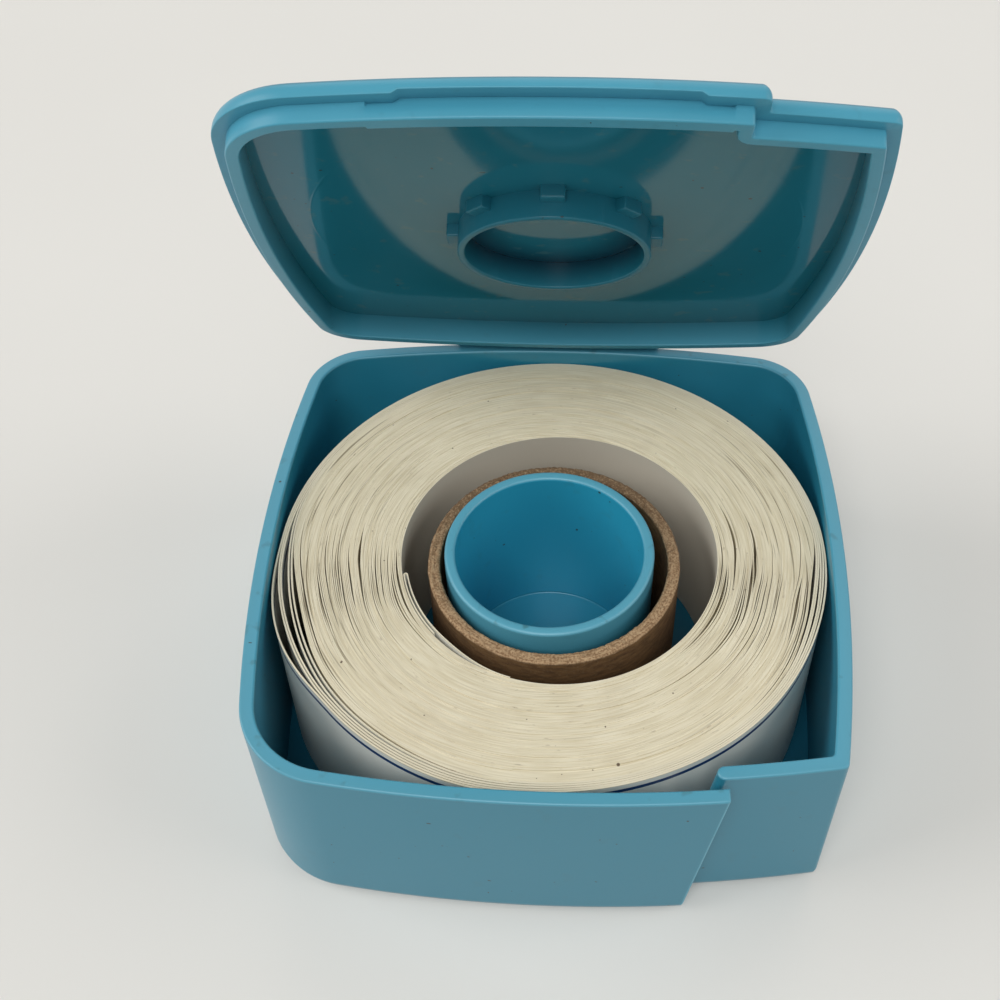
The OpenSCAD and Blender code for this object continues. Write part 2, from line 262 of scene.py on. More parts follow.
post_edge_r = 0.45 * mm
cup_fillet_r = 0.25 * mm
foot_steps = 7
front_round_steps, back_round_steps = 18, 16
front_steps, side_steps, back_steps = 30, 26, 30
tear_steps, slot_steps, corner_steps = 5, 5, 8
panel_steps, lap_steps, panel_end_steps = 14, 4, 7


def turned(quarter, x, y):
    """A plan point turned clockwise by quarter turns: 0 is the back, 1 the right, 2 the front, 3 the left."""
    for _ in range(quarter):
        x, y = y, -x
    return np.stack(np.broadcast_arrays(x, y), -1)


def corner_at(r):
    """Where a corner of radius r has its centre, off each middle line, to touch two neighbouring bows."""
    return (np.sqrt(2 * (bow_r - r) ** 2 - bow_back ** 2) - bow_back) / 2


def bow_end(r):
    """Angle along a bow at which it meets a corner of radius r."""
    return np.arcsin(corner_at(r) / (bow_r - r))


def bow(quarter, angle, inset):
    """Points of a bowed side, inset from the box's outline: an arc about a centre past the opposite side."""
    reach = bow_r - inset
    return turned(quarter, reach * np.sin(angle), reach * np.cos(angle) - bow_back)


def round_corner(quarter, r, steps, inset):
    """Points of the rounded corner that follows a side, inset from the box's outline."""
    angle = np.linspace(bow_end(r), np.pi / 2 - bow_end(r), steps)
    q = corner_at(r)
    return turned(quarter, q + (r - inset) * np.sin(angle), q + (r - inset) * np.cos(angle))


def front_line(x, inset):
    """Points of the front's bow at given x, inset from the box's outline."""
    x = np.broadcast_to(x, np.broadcast_shapes(np.shape(x), np.shape(inset)))
    return np.stack([x, bow_back - np.sqrt((bow_r - inset) ** 2 - x ** 2)], -1)


def compass(angle):
    """Steps of length 1 in plan, at clockwise angles from +Y: the sine and the cosine."""
    return np.stack([np.sin(angle), np.cos(angle)], -1)


def arc(centre, r, start, end, steps):
    """Points on an arc about a centre, with clockwise angles from +Y in degrees."""
    return centre + r[..., None] * compass(np.radians(np.linspace(start, end, steps)))


def front_right_corner(right_inset, front_inset):
    """Where the right side's bow crosses the front's bow, each inset: two circles crossing."""
    right_r = bow_r - right_inset
    front_r = bow_r - front_inset
    apart = bow_back * np.sqrt(2)
    along = (right_r ** 2 - front_r ** 2 + apart ** 2) / (2 * apart)
    off = np.sqrt(right_r ** 2 - along ** 2)
    return np.stack([(along + off) / np.sqrt(2) - bow_back, (along - off) / np.sqrt(2)], -1)


def spread(first, last, steps):
    """Evenly spread steps from a first to a last value, which may differ from row to row."""
    return first + (last - first) * np.linspace(0.0, 1.0, steps)


def walk_round(inset):
    """The stretch that every outline shares: front left corner, left, back and both back corners."""
    front_end, back_end = bow_end(front_corner_r), bow_end(back_corner_r)
    return [
        round_corner(2, front_corner_r, front_round_steps, inset),
        bow(3, np.linspace(-front_end, back_end, side_steps)[1:-1], inset),
        round_corner(3, back_corner_r, back_round_steps, inset),
        bow(0, np.linspace(-back_end, back_end, back_steps)[1:-1], inset),
        round_corner(0, back_corner_r, back_round_steps, inset),
    ]


def right_side(inset, corner):
    """The right side's bow, from the back corner to a given front corner point."""
    last = np.arctan2(-corner[..., 1:], corner[..., :1] + bow_back)
    return bow(1, spread(-bow_end(back_corner_r), last, side_steps)[:, 1:-1], inset)


def raised(walk, heights):
    """Rows of plan points, each row at its own height."""
    plan = np.concatenate(walk, 1)
    rise = np.broadcast_to(heights[:, None, None], plan.shape[:2] + (1,))
    return np.concatenate([plan, rise], -1)


def revolved_rows(angles, radii, heights):
    """Rows of points round the post's axis: each radius and height is carried round the angles."""
    return raised([np.asarray(radii)[:, None, None] * compass(angles)], np.asarray(heights))


def quarter_round(steps=5):
    """Sines and one minus cosines of a quarter turn, for a rounded edge."""
    angle = np.linspace(0.0, np.pi / 2, steps)
    return np.sin(angle), 1 - np.cos(angle)


def numbered(rows, first=0):
    """Vertex numbers of a grid of points, counted on from a first number."""
    return first + np.arange(rows[..., 0].size).reshape(rows.shape[:-1])


def closed(count):
    """Places along a loop that ends where it began."""
    return np.r_[0:count, 0]


def quads(index):
    """Faces between neighbouring rows and columns of a grid of vertex numbers."""
    sides = [index[:-1, :-1], index[:-1, 1:], index[1:, 1:], index[1:, :-1]]
    return np.stack(sides, -1).reshape(-1, 4).tolist()


def piece(name, points, faces, sharp_angle=40, marks=None):
    """A mesh object with doubles merged, faces turned outwards, sharp edges kept and its points marked."""
    mesh = bpy.data.meshes.new(name)
    mesh.from_pydata(np.asarray(points).reshape(-1, 3).tolist(), [], faces)
    for mark, values in (marks or {}).items():
        kept = mesh.attributes.new(mark, "FLOAT", "POINT")
        kept.data.foreach_set("value", np.asarray(values, dtype=np.float32))
    shape = bmesh.new()
    shape.from_mesh(mesh)
    bmesh.ops.remove_doubles(shape, verts=shape.verts, dist=1e-6)
    bmesh.ops.dissolve_degenerate(shape, edges=shape.edges, dist=1e-7)
    bmesh.ops.recalc_face_normals(shape, faces=shape.faces)
    shape.to_mesh(mesh)
    shape.free()
    mesh.shade_smooth()
    mesh.set_sharp_from_angle(angle=np.radians(sharp_angle))
    made = bpy.data.objects.new(name, mesh)
    bpy.context.scene.collection.objects.link(made)
    flatten = made.modifiers.new("flat_faces", "WEIGHTED_NORMAL")
    flatten.keep_sharp = True
    return made


rim_up, rim_in = quarter_round()
foot_turn = np.r_[np.linspace(0.0, np.arccos(1 - floor_z / foot_r), foot_steps), np.pi / 2]
floor_row = foot_steps - 1
tray_z = np.r_[foot_r * (1 - np.cos(foot_turn)), rim_z - rim_r + rim_r * rim_up]
foot_inset = np.r_[foot_r * (1 - np.sin(foot_turn)), np.zeros(len(rim_up))][:, None]
draft_inset = draft * (1 - tray_z / rim_z)[:, None]
rim_inset = np.r_[np.zeros(len(foot_turn)), rim_r * rim_in][:, None]
tear_at = (tear_x - (rim_z - tray_z) * np.tan(tear_lean))[:, None]
panel_end = tear_at - panel_lap
panel_half = (wall - draft_inset) / 2
slot_x = panel_end - wall / 2 - slot_gap
front_left_x = -(bow_r * corner_at(front_corner_r) / (bow_r - front_corner_r))

tray_inset = foot_inset + rim_inset + draft_inset
edge_centre = front_line(tear_at - tear_edge_r, tray_inset + np.maximum(tear_edge_r - rim_inset, 0))
corner_inset = np.maximum(tray_inset, outer_corner_r)
outer_corner = front_right_corner(corner_inset, panel_inset + corner_inset)
panel_face = panel_inset + tray_inset
end_centre = front_line(panel_end, panel_inset + wall - panel_half)
outer_walk = [
    arc(edge_centre, tear_edge_r - rim_inset, 90, 176, tear_steps),
    front_line(spread(tear_at - tear_edge_r, slot_x, slot_steps)[:, 1:], tray_inset),
    front_line(spread(slot_x, front_left_x, front_steps)[:, 1:-1], tray_inset),
    *walk_round(tray_inset),
    right_side(tray_inset, outer_corner[:, 0]),
    arc(outer_corner, corner_inset - tray_inset, 96, 174, corner_steps),
    front_line(spread(outer_corner[..., 0], tear_at, panel_steps)[:, 1:], panel_face),
    front_line(spread(tear_at, panel_end, lap_steps)[:, 1:-1], panel_face),
    arc(end_centre, panel_half - rim_inset, 180, 270, panel_end_steps),
]
slot_start = sum(part.shape[1] for part in outer_walk[:-2]) - 1
face_inset = wall - rim_inset
cavity_corner = wall + inner_corner_r
inner_corner = front_right_corner(
    np.full_like(rim_inset, cavity_corner), np.full_like(rim_inset, panel_inset + cavity_corner)
)
back_face = panel_inset + face_inset
inner_walk = [
    front_line(spread(tear_at - rim_inset, tear_at - tear_edge_r, tear_steps), face_inset),
    front_line(spread(tear_at - tear_edge_r, slot_x, slot_steps)[:, 1:], face_inset),
    front_line(spread(slot_x, front_left_x, front_steps)[:, 1:-1], face_inset),
    *walk_round(face_inset),
    right_side(face_inset, inner_corner[:, 0]),
    arc(inner_corner, cavity_corner - face_inset, 96, 174, corner_steps),
    front_line(spread(inner_corner[..., 0], panel_end, panel_steps + lap_steps - 2)[:, 1:-1], back_face),
    front_line(panel_end, back_face),
    arc(end_centre, panel_half - rim_inset, 360, 270, panel_end_steps),
]
outer_rows = raised(outer_walk, tray_z)
inner_rows = raised(inner_walk, tray_z)[floor_row:]
slot_turn = tear_steps + slot_steps - 2
floor_line = inner_rows[0, slot_turn:]
post_angles = np.arctan2(floor_line[:, 0], floor_line[:, 1])
post_rise, post_drop = post_edge_r * rim_up, post_edge_r * rim_in
cup_up, cup_in = cup_fillet_r * rim_up, cup_fillet_r * rim_in
post_radii = np.r_[
    post_r, post_r - post_drop, (post_bore_r + post_drop)[::-1], post_bore_r - cup_in, post_bore_r / 2
]
post_heights = np.r_[
    floor_z, post_top_z - post_edge_r + post_rise, (post_top_z - post_edge_r + post_rise)[::-1],
    floor_z + cup_fillet_r - cup_up, floor_z,
]
post_rows = revolved_rows(post_angles, post_radii, post_heights)

outer_index = numbered(outer_rows)
inner_index = numbered(inner_rows, outer_index.max() + 1)
post_index = numbered(post_rows, inner_index.max() + 1)
around = closed(len(post_angles))
tear_face = np.stack([outer_index[floor_row:, 0], inner_index[:, 0]], 1)
slot_edge = outer_index[:floor_row, [0, slot_start]]
tray_faces = [
    *quads(outer_index[: floor_row + 1, : slot_start + 1]),
    *quads(outer_index[floor_row:]),
    *quads(inner_index),
    *quads(np.stack([outer_index[-1], inner_index[-1]])),
    *quads(tear_face),
    *quads(slot_edge),
    [*outer_index[floor_row - 1, [0, slot_start]], outer_index[floor_row, slot_start], *tear_face[0, ::-1]],
    outer_index[0, : slot_start + 1].tolist(),
    [*inner_index[0, : slot_turn + 1], *outer_index[floor_row, slot_start:][::-1]],
    *quads(np.stack([inner_index[0, slot_turn:][around], post_index[0, around]])),
    *quads(post_index[:, around]),
    post_index[-1].tolist(),
]
tray_points = np.concatenate([rows.reshape(-1, 3) for rows in (outer_rows, inner_rows, post_rows)])
on_outside = np.arange(len(tray_points)) < outer_index.size
tray = piece("tray_moulding", tray_points, tray_faces, marks={"outside": on_outside})

tray_tint = (0.026, 0.255, 0.385)
# Painted shade: a darker tint for the tray's outside, which the lid's outside shares.
darker_outside_tint = (0.028, 0.212, 0.31)
# Painted light: a lighter tint for the cup's wall.
cup_painted_light_tint = (0.026, 0.34, 0.51)
# Painted shade: a darker tint low in the well round the post.
well_painted_shade_tint = (0.010, 0.12, 0.20)
# Wear and a painted highlight: a paler tint for the rims and the tear edge, also painted light on the post's
# side.
wear_and_sheen_tint = (0.10, 0.355, 0.48)
cloud_tint = (0.0, 0.1, 0.15)
smear_tint = (0.05, 0.16, 0.19)
dust_tint = (0.03, 0.06, 0.07)


def turquoise(tint, roughness, other_roughness, other_parts):
    """Recipe of a moulded plastic: an even tint, faint clouds, smears and dust, and parts that differ."""

    def recipe(wire, place):
        patches, smoothed = other_parts(wire, place)
        cloud = wire.noise(place, 60.0).between(0.3, 0.7)
        tone = (0.10 * cloud).mixed(tint, cloud_tint)
        for patch, patch_tint in patches:
            tone = patch.mixed(tone, patch_tint)
        smear = wire.noise(place, 420.0, 2.0).between(0.63, 0.74) * (0.12 + 0.5 * smoothed)
        dust = wire.noise(place, 1250.0, 0.0).between(0.862, 0.885)
        finish = roughness + (other_roughness - roughness) * smoothed
        return {
            "Base Color": dust.mixed(smear.mixed(tone, smear_tint), dust_tint),
            "Roughness": finish + 0.06 * wire.noise(place, 35.0),
            "Normal": wire.bump(wire.noise(place, 220.0, 2.0), 0.05, 0.1 * mm),
        }

    return recipe


def in_plan(wire, place, centre=(0.0, 0.0)):
    """A place laid flat and taken from a centre, and its distance from there."""
    shift = (-centre[0], -centre[1], 0.0)
    laid_flat = {"Vector": place, "Location": shift, "Scale": (1.0, 1.0, 0.0)}
    flat = wire.node("ShaderNodeMapping", inputs=laid_flat)
    return flat, wire.vector("LENGTH", {0: flat}, "Value")


def tray_wear_and_painted_light(wire, place):
    """Parts of the tray with tints of their own, and how far a point is made paler by wear and a painted
    highlight.

    The walls' and the post's top and the tear edge are worn paler, with a painted highlight on their rounds.
    The post's side is lighter towards its top, and the cup is a lighter blue: painted light.
    The well round the post is darker low down, and the outside is darker: painted shade.
    """
    x, y, height = (wire.along(place, axis) for axis in "XYZ")
    _, out = in_plan(wire, place)
    within_post = out < post_r + 0.2 * mm
    on_wall = 0.65 * height.between(rim_z - 0.5 * mm, rim_z - 0.1 * mm)
    on_post = height.between(post_top_z - 0.4 * mm, post_top_z - 0.05 * mm) * within_post
    past_tear = x + (rim_z - height) * np.tan(tear_lean) - tear_x
    in_front = y < front_line(tear_x, 1.2 * mm)[1]
    on_tear = past_tear.between(-0.4 * mm, -0.2 * mm) * in_front
    # Paler where worn, and a painted highlight on the rounded rims and the tear edge.
    wear_and_sheen = wire.math("MAXIMUM", on_wall, on_post * (height < rim_z - 0.5 * mm))
    wear_and_sheen = wire.math("MAXIMUM", wear_and_sheen, on_tear)
    # Painted light: the post's outer side is made paler towards its top.
    near_top = 0.8 * height.between(post_top_z - 8 * mm, post_top_z - 1 * mm)
    post_side_painted_light = near_top * (out > post_bore_r + 0.3 * mm) * within_post
    # Painted light: the cup's wall is a lighter blue.
    lit_cup = (out < post_bore_r + 0.05 * mm) * (height > floor_z + 0.3 * mm)
    # Painted shade: darker low down in the well round the post.
    low_down = 1.0 - height.between(floor_z + 0.5 * mm, floor_z + 11 * mm)
    shaded_well = low_down * (out > post_r + 0.1 * mm)
    # The darker outside is painted shade.
    patches = [
        (shaded_well, well_painted_shade_tint), (wire.mark("outside"), darker_outside_tint), (lit_cup, cup_painted_light_tint),
        (post_side_painted_light, wear_and_sheen_tint), (wear_and_sheen, wear_and_sheen_tint),
    ]
    return patches, wear_and_sheen


tray_plastic = material("turquoise_plastic", turquoise(tray_tint, 0.28, 0.4, tray_wear_and_painted_light), IOR=1.55)
tray.data.materials.append(tray_plastic)
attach(tray, "base")
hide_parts("base_tray")

# Lid: a shallow cap of the same shot of plastic, polished inside, with a lip that drops into the tray.
# A short ring with eight nubs keeps its middle over the post. It is laid out shut and then swung open.
hinge = next(joint for joint in frame["joints"] if joint["name"] == "lid_hinge")
hinge_at = np.array(hinge["pos_m"])
lid_open = np.radians(61.0)
ledge_z = rim_z + 0.1 * mm
lid_top_z = ledge_z + 2.38 * mm
lid_face_z = ledge_z + 1.5 * mm
lip_end_z = ledge_z - 2.1 * mm
lid_inset = 0.67 * mm
lid_edge_r = 1.8 * mm
ledge_edge_r = 0.12 * mm
lip_inset = wall + 0.4 * mm
lip_t = 1.6 * mm
lip_edge_r = 0.22 * mm
lip_step_x = 21.05 * mm
lip_step_inset = panel_inset + wall + 0.25 * mm
ledge_w = lip_inset - lid_inset
root_h = 0.02 * mm
step_round = 1.1 * mm
step_least_r = 0.05 * mm
step_hollow = 0.35 * mm
nail_half = 15.8 * mm
nail_h = 0.45 * mm
snap_half = 19.0 * mm
snap_depth = 0.4 * mm
bead_h = 0.4 * mm
nail_ramp = 0.7 * mm
snap_ramp = 0.2 * mm
ring_r = 12.3 * mm
ring_wall = 0.9 * mm
ring_edge_r = 0.25 * mm
ring_end_z = post_top_z - 0.7 * mm
witness_r = 31.0 * mm
witness_h = 0.012 * mm
nub_count = 8
nub_w = 3.0 * mm
nub_len = 1.45 * mm
nub_h = 1.6 * mm
nub_root = 0.4 * mm
nub_round = 0.25 * mm


def inside(x, half_width, ramp):
    """1 where x lies within a half width of the middle, with a short ramp at each end."""
    return np.clip((half_width + ramp / 2 - np.abs(x)) / ramp, 0.0, 1.0)


def ramp_marks(half_width, ramp):
    """The four x at which a cut's two ramps start and end, from right to left."""
    return np.array([1, 1, -1, -1]) * half_width + np.array([1, -1, 1, -1]) * ramp / 2


edge_up, edge_in = quarter_round(9)
small_up, small_in = quarter_round(4)
shell_inset = np.r_[lid_inset + lid_edge_r * edge_in[::-1], lid_inset + ledge_edge_r * small_in]
shell_z = np.r_[
    lid_top_z - lid_edge_r + lid_edge_r * edge_up[::-1],
    ledge_z + ledge_edge_r - ledge_edge_r * small_up,
]
cove = np.linspace(1.0, 0.0, 7)
lip_offset = np.r_[
    0.0 * cove, lip_edge_r * small_in, (lip_t - lip_edge_r * small_in)[::-1], lip_t, lip_t
]
lip_edge_z = lip_end_z + lip_edge_r - lip_edge_r * small_up
lip_z = np.r_[
    lip_end_z + bead_h + (ledge_z - lip_end_z - bead_h) * cove,
    lip_edge_z, lip_edge_z[::-1], lid_face_z - root_h, lid_face_z,
]
set_back = np.r_[cove ** 2, np.zeros(len(small_up)), np.ones(len(small_up) + 2)]
shell_count = len(shell_z)
lid_z = np.r_[shell_z, lip_z]
lid_row_inset = np.r_[shell_inset, lip_inset + lip_offset][:, None]
past_lip = np.r_[shell_inset - lid_inset - ledge_w, lip_offset]
step_at = (lip_step_x - past_lip)[:, None]
step_back = (lip_step_inset + past_lip)[:, None]
past_edge = np.r_[shell_inset - lid_inset, lip_offset + lid_inset]
step_r = np.maximum(step_round - past_edge, step_least_r)[:, None]
hollow_r = np.r_[step_hollow + shell_inset - lid_inset, step_hollow + lip_offset][:, None]
snap_marks, nail_marks = ramp_marks(snap_half, snap_ramp), ramp_marks(nail_half, nail_ramp)
middle_x = np.sort(np.r_[snap_marks, nail_marks, np.linspace(-14, 14, 9) * mm])[::-1]
convex_centre = front_line(step_at - step_r, lid_row_inset + step_r)
lid_corner = front_right_corner(lid_row_inset + step_r, step_back + step_r)
hollow_centre = front_line(step_at + hollow_r, step_back - hollow_r)
side_y = spread(hollow_centre[..., 1], convex_centre[..., 1], 4)[:, 1:-1]
lid_walk = [
    arc(convex_centre, step_r, 90, 176, 7),
    front_line(np.broadcast_to(middle_x, (len(lid_z), len(middle_x))), lid_row_inset),
    front_line(spread(np.full_like(step_at, middle_x[-1]), front_left_x, 8)[:, 1:-1], lid_row_inset),
    *walk_round(lid_row_inset),
    right_side(lid_row_inset, lid_corner[:, 0]),
    arc(lid_corner, step_r, 96, 174, 7),
    front_line(spread(lid_corner[..., 0], step_at + hollow_r, 10)[:, 1:-1], step_back),
    arc(hollow_centre, hollow_r, 0, -90, 5),
    np.stack([np.broadcast_to(step_at, side_y.shape), side_y], -1),
]
lid_rows = raised(lid_walk, lid_z)
on_front = np.zeros(lid_rows.shape[1])
front_first = lid_walk[0].shape[1]
on_front[front_first : front_first + len(middle_x)] = 1.0
nail_cut = inside(lid_rows[0, :, 0], nail_half, nail_ramp) * on_front
snap_cut = inside(lid_rows[0, :, 0], snap_half, snap_ramp) * on_front
nail_rows = slice(shell_count - len(small_up), shell_count + 1)
lid_rows[nail_rows, :, 2] += nail_h * nail_cut
lid_rows[shell_count:, :, 1] += snap_depth * set_back[:, None] * snap_cut

lid_angles = np.arctan2(lid_rows[-1, :, 0], lid_rows[-1, :, 1])
ring_in = ring_edge_r * small_in
ring_bore_r = ring_r - ring_wall
ring_edge_z = ring_end_z + ring_edge_r - ring_edge_r * small_up
witness = np.array([0.25, 0.1, -0.1, -0.25]) * mm
face_radii = np.r_[
    witness_r + witness, ring_r, ring_r, ring_r - ring_in,
    (ring_bore_r + ring_in)[::-1], ring_bore_r, ring_bore_r, ring_bore_r / 2,
]
face_heights = np.r_[
    lid_face_z - witness_h * np.array([0, 1, 1, 0]), lid_face_z, lid_face_z - root_h, ring_edge_z,
    ring_edge_z[::-1], lid_face_z - root_h, lid_face_z, lid_face_z,
]
face_rows = revolved_rows(lid_angles, face_radii, face_heights)
lid_points = np.concatenate([lid_rows, face_rows])
lid_index = numbered(lid_points)


def rounded_block(low, high, r):
    """A block with rounded edges: a cube's surface on grids, pushed out from an inner block by a sphere."""
    flat_to = 0.45
    share = np.array([-1.0, -0.8, -flat_to, flat_to, 0.8, 1.0])
    u, v = np.meshgrid(share, share, indexing="ij")
    one = np.ones_like(u)
    sides = [(u, v, one), (v, u, -one), (one, u, v), (-one, v, u), (v, one, u), (u, -one, v)]
    cube = np.stack([np.stack(side, -1) for side in sides])
    core = np.clip(cube, -flat_to, flat_to) / flat_to
    push = cube - np.clip(cube, -flat_to, flat_to)
    push = push / np.maximum(np.linalg.norm(push, axis=-1, keepdims=True), 1e-9)
    centre, reach = (low + high) / 2, (high - low) / 2 - r
    points = centre + core * reach + push * r
    return points.reshape(-1, 3), [face for side in numbered(points) for face in quads(side)]


nub_low = np.array([ring_r - ring_wall / 2, -nub_w / 2, lid_face_z - nub_h])
nub_high = np.array([ring_r + nub_len, nub_w / 2, lid_face_z + nub_root])
nub_points, nub_quads = rounded_block(nub_low, nub_high, nub_round)
turns = 2 * np.pi * np.arange(nub_count) / nub_count
turn_cos, turn_sin, zero = np.cos(turns), np.sin(turns), np.zeros(nub_count)
spin = np.array([[turn_cos, -turn_sin, zero], [turn_sin, turn_cos, zero], [zero, zero, zero + 1]])
all_nubs = np.einsum("ijk,nj->kni", spin, nub_points)
nub_faces = numbered(all_nubs, lid_index.size)[:, nub_quads].reshape(-1, 4).tolist()


def swung(points, angle):
    """Points of the shut lid turned about the hinge's axis, front edge up and back."""
    c, s = np.cos(-angle), np.sin(-angle)
    return (points - hinge_at) @ np.array([[1, 0, 0], [0, c, -s], [0, s, c]]).T + hinge_at


lid_row = np.arange(len(lid_points))
top_rows = 5
first_inside = shell_count + len(cove) + 2 * len(small_up)
face_first, ring_first = len(lid_rows) - 1, len(lid_rows) + len(witness) + 1
bore_root_row, bore_face_row, last_row = lid_row[-3:]
marked_rows = {
    "outside": lid_row < top_rows,
    "deep": lid_row >= first_inside,
    "polished": (lid_row >= face_first) & (lid_row < ring_first) | (lid_row >= bore_face_row),
    "bore_root": (lid_row >= bore_root_row) & (lid_row < last_row),
}
on_nubs = {"outside": 0.0, "deep": 1.0, "polished": 0.0, "bore_root": 0.0}
lid_marks = {
    mark: np.r_[np.repeat(rows, lid_points.shape[1]), np.full(all_nubs[..., 0].size, on_nubs[mark])]
    for mark, rows in marked_rows.items()
}
lid = piece(
    "lid_moulding",
    swung(np.concatenate([lid_points.reshape(-1, 3), all_nubs.reshape(-1, 3)]), lid_open),
    [
        *quads(lid_index[:, closed(lid_points.shape[1])]),
        lid_index[0].tolist(),
        lid_index[-1].tolist(),
        *nub_faces,
    ],
    marks=lid_marks,
)

# Lighter than the tray's tint for the same plastic: a painted sheen, in place of the reflection its lower IOR
# gives up.
lid_tint_with_painted_sheen = (0.068, 0.315, 0.445)
# Painted shade: a darker tint for the lid's inside, ring and nubs.
inside_painted_shade_tint = (0.014, 0.15, 0.215)
# Painted shade: the ring's bore darkens towards its root.
ring_bore_painted_shade_tint = (0.003, 0.045, 0.08)


def polished_inside(wire, place):
    """Lid's darker outside, painted shade inside, more in the ring bore, and how far a face is polished."""
    outside, deep, polished, bore_root = (wire.mark(name) for name in marked_rows)
    return [(outside, darker_outside_tint), (deep, inside_painted_shade_tint), (bore_root, ring_bore_painted_shade_tint)], polished


lid_plastic = material("polished_turquoise", turquoise(lid_tint_with_painted_sheen, 0.30, 0.05, polished_inside), IOR=1.36)
lid.data.materials.append(lid_plastic)
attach(lid, "lid")
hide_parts("lid")

# Living hinge: a thin web of the same plastic between the tray's back rim and the lid's back edge.
# It is built bent for the open lid, so it follows the tray at one end and the lid at the other.
film_low, film_high = (np.array(corner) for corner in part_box("hinge_film"))
film_half = (film_high[0] - film_low[0]) / 2
film_t = 0.35 * mm
film_set_in = 0.15 * mm
film_root_drop = 0.28 * mm
film_tip_rise = 0.38 * mm
film_root = np.array([half - film_set_in, rim_z - film_root_drop])
film_tip_shut = np.array([[0.0, half - lid_inset - film_set_in, ledge_z + film_tip_rise]])
film_tip = swung(film_tip_shut, lid_open)[0, 1:]


def film_line(steps):
    """Middle line of the bent web in Y and Z: a second-degree curve with its bulge behind the hinge."""
    share = np.linspace(0.0, 1.0, steps)[:, None]
    behind = np.array([film_high[1] - film_t, hinge_at[2]])
    pull = 2 * behind - (film_root + film_tip) / 2
    return (1 - share) ** 2 * film_root + 2 * share * (1 - share) * pull + share ** 2 * film_tip


def normals(line):
    """Steps of length 1 to one side of a line: its own direction, turned by a quarter."""
    way = np.gradient(line, axis=0)
    return np.stack([-way[:, 1], way[:, 0]], -1) / np.linalg.norm(way, axis=1, keepdims=True)


film_mid = film_line(13)
film_side = normals(film_mid) * film_t / 2
film_loop = np.concatenate([film_mid + film_side, (film_mid - film_side)[::-1]])
film_x = np.linspace(-film_half, film_half, 17)[:, None]
sag = (bow_back + half) - np.sqrt(bow_r ** 2 - film_x ** 2)
film_grid = np.stack(np.broadcast_arrays(film_x, film_loop[:, 0] - sag, film_loop[:, 1]), -1)
film_index = numbered(film_grid)
film_faces = quads(film_index[:, closed(len(film_loop))])
film = piece("hinge_web", film_grid, [*film_faces, film_index[0].tolist(), film_index[-1].tolist()])
film.data.materials.append(tray_plastic)
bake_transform(film)
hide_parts("hinge_film")

# Cardboard core: a wound kraft tube, loose over the post, with a cut end that has gone fuzzy.
# The ends are rough, and the side shows the lay of the paper.
core_low, core_high = (np.array(corner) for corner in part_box("cardboard_core"))
core_mid = (core_low + core_high) / 2
core_r = (core_high[0] - core_low[0]) / 2
core_wall = 1.7 * mm
core_bore_r = core_r - core_wall
core_edge_r = 0.35 * mm
core_steps = 360
fuzz = 0.22 * mm
fray_h = 1.2 * mm
fray_out = 0.12 * mm
random = np.random.default_rng(7)


def smooth_noise(rows, columns, waves_down, waves_round):
    """Noise on a grid that closes round its columns: random waves of many lengths, within -1 to 1."""
    down = np.linspace(0.0, 1.0, rows)[:, None]
    turn = np.linspace(0.0, 2 * np.pi, columns, endpoint=False)[None, :]
    total = np.zeros((rows, columns))
    for _ in range(36):
        k = random.integers(1, waves_round + 1)
        m = random.uniform(0, waves_down)
        round_wave = np.sin(k * turn + random.uniform(0, 6.28))
        total += round_wave * np.cos(2 * np.pi * m * down + random.uniform(0, 6.28))
    return total / np.abs(total).max()


core_up, core_in = quarter_round(4)
core_end_r = np.linspace(core_r - core_edge_r, core_bore_r + core_edge_r, 7)[1:-1]
core_section_r = np.r_[
    core_r, core_r, core_r - core_edge_r * core_in, core_end_r,
    (core_bore_r + core_edge_r * core_in)[::-1], core_bore_r,
]
core_top = core_high[2] - fuzz
core_edge_z = core_top - core_edge_r + core_edge_r * core_up
core_section_z = np.r_[
    core_low[2], core_top - fray_h, core_edge_z, np.full(len(core_end_r), core_top),
    core_edge_z[::-1], core_low[2],
]
core_angles = np.linspace(0.0, 2 * np.pi, core_steps, endpoint=False)
core_rows = revolved_rows(core_angles, core_section_r, core_section_z)
frayed = np.clip((core_section_z - (core_top - fray_h)) / fray_h, 0.0, 1.0)[:, None]
core_rows[..., 2] += fuzz * smooth_noise(len(core_section_r), core_steps, 3.0, 150) * frayed
splay = fray_out / core_r * smooth_noise(len(core_section_r), core_steps, 3.0, 120) * frayed
core_rows[..., :2] *= (1 + splay)[..., None]
core_rows[..., :2] += core_mid[:2]
core_loop = numbered(core_rows)[closed(len(core_section_r))][:, closed(core_steps)]
core = piece("cardboard_tube", core_rows, quads(core_loop))

board_tones = (0.083, 0.040, 0.012), (0.168, 0.088, 0.031)
board_end_tones = (0.20, 0.115, 0.055), (0.47, 0.315, 0.18)
shaded_end_tint = (0.085, 0.047, 0.022)
fibre_tint = (0.45, 0.32, 0.19)
ring_pattern_r = 30 * mm


def along_turns(wire, place, length, width, centre=(0.0, 0.0)):
    """A place for noise whose waves follow rings about a centre, so long round them and so wide across."""
    flat, out = in_plan(wire, place, centre)
    way = wire.vector("NORMALIZE", {0: flat})
    ring = wire.vector("SCALE", {0: way, "Scale": ring_pattern_r / length})
    across = wire.node("ShaderNodeCombineXYZ", inputs={"Z": (1 / width) * out})
    return wire.vector("ADD", {0: ring, 1: across})


